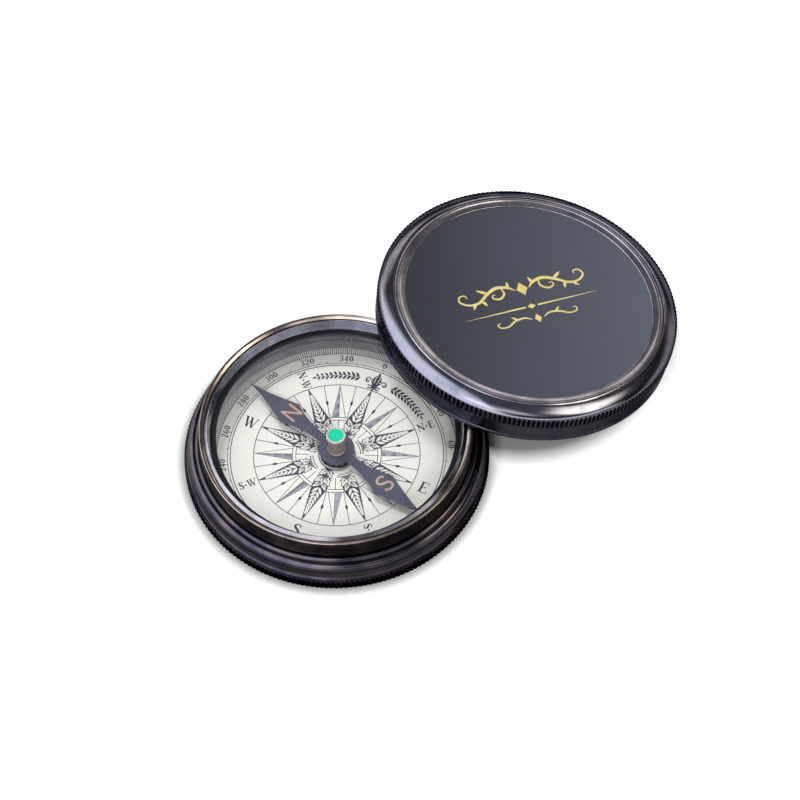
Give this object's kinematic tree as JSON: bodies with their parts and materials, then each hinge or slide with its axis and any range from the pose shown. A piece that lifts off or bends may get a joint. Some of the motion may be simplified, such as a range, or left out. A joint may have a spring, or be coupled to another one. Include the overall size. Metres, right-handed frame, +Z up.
{
  "type": "pocket compass",
  "caption": "Round pocket compass: knurled case, threaded collar, glass over a compass rose dial with a turning needle, and a screw lid taken off and leaning on the case.",
  "frame": {"origin": "centre of the case's flat underside, on the table", "axes": "+Z up out of the dial, +X from the case towards the lid that leans on it"},
  "size_m": [0.1327, 0.075, 0.0249],
  "materials": {
    "blackened_brass": "polished black antique finish with brown and violet lights",
    "plain_brass": "plain",
    "dial_card": "coated, with printed black compass rose",
    "satin_ring": "satin grey plated",
    "gasket": "matte",
    "crystal": "clear, polished",
    "bright_bezel": "polished nickel plated",
    "pivot_steel": "polished",
    "blued_steel": "dull blued",
    "cap_brass": "turned and polished",
    "jewel": "polished agate",
    "green_enamel": "bright green enamel",
    "satin_plate": "satin blackened, fine brushed",
    "lid_ring": "polished bronzed"
  },
  "bodies": {
    "case": {"case_cup": "blackened_brass", "threaded_collar": "blackened_brass", "dial_plate": "plain_brass", "dial_card": "dial_card", "dial_hold_ring": "satin_ring", "glass_seat_ring": "blackened_brass", "glass_gasket": "gasket", "crystal": "crystal", "bezel_ring": "bright_bezel", "boss_washer": "bright_bezel", "pivot_boss": "satin_ring", "pivot_pin": "pivot_steel"},
    "needle": {"needle": "blued_steel", "needle_washer": "blued_steel", "needle_cap": "cap_brass", "cap_jewel": "jewel", "cap_spot": "green_enamel"},
    "lid": {"lid_shell": "blackened_brass", "lid_plate": "satin_plate", "lid_ring": "lid_ring"}
  },
  "joints": [
    {"name": "needle_spin", "type": "hinge", "parent": "case", "child": "needle", "pos_m": [0, 0, 0.004], "axis": [0, 0, 1], "continuous": true},
    {"name": "lid_lift", "type": "slide", "parent": "case", "child": "lid", "axis": [0, 0, 1], "range_m": [0, 0.06]}
  ]
}
